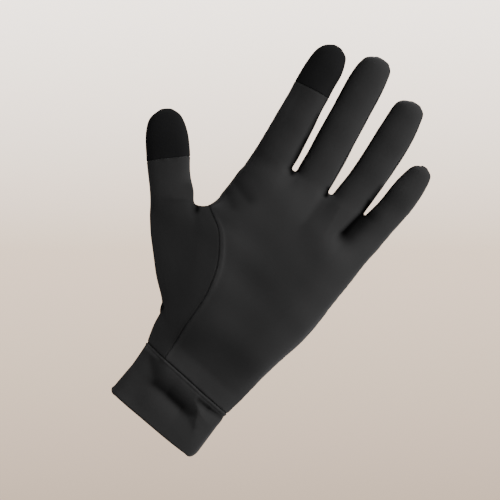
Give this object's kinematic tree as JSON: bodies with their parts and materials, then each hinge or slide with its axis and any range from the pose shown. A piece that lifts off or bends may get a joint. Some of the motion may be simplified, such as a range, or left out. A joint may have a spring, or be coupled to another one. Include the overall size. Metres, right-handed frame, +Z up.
{
  "type": "running glove",
  "caption": "Thin close-fitting running glove for the left hand, in dark stretch jersey, with touch-screen caps on index finger and thumb and a plain folded cuff.",
  "frame": {"origin": "on the surface that the glove lies on, under the palm, at the rest_face mount", "axes": "+X from the thumb to the little finger, +Y from the cuff to the fingertips, +Z up out of the palm"},
  "size_m": [0.1485, 0.2403, 0.0275],
  "materials": {
    "palm_jersey": "thin charcoal stretch jersey, matt with a faint sheen",
    "back_jersey": "thin charcoal stretch jersey, matt with a faint sheen",
    "thumb_jersey": "thin charcoal stretch jersey, matt with a faint sheen",
    "fourchette_jersey": "thin charcoal stretch jersey, matt",
    "cuff_jersey": "charcoal stretch jersey folded double, matt with a faint sheen",
    "touch_fabric": "close black conductive knit, dull"
  },
  "bodies": {
    "root": {"palm_panel": "palm_jersey", "back_panel": "back_jersey", "fourchette_index_middle": "fourchette_jersey", "fourchette_middle_ring": "fourchette_jersey", "fourchette_ring_little": "fourchette_jersey", "thumb_panel": "thumb_jersey", "index_tip": "touch_fabric", "thumb_tip": "touch_fabric", "cuff": "cuff_jersey"}
  },
  "joints": []
}
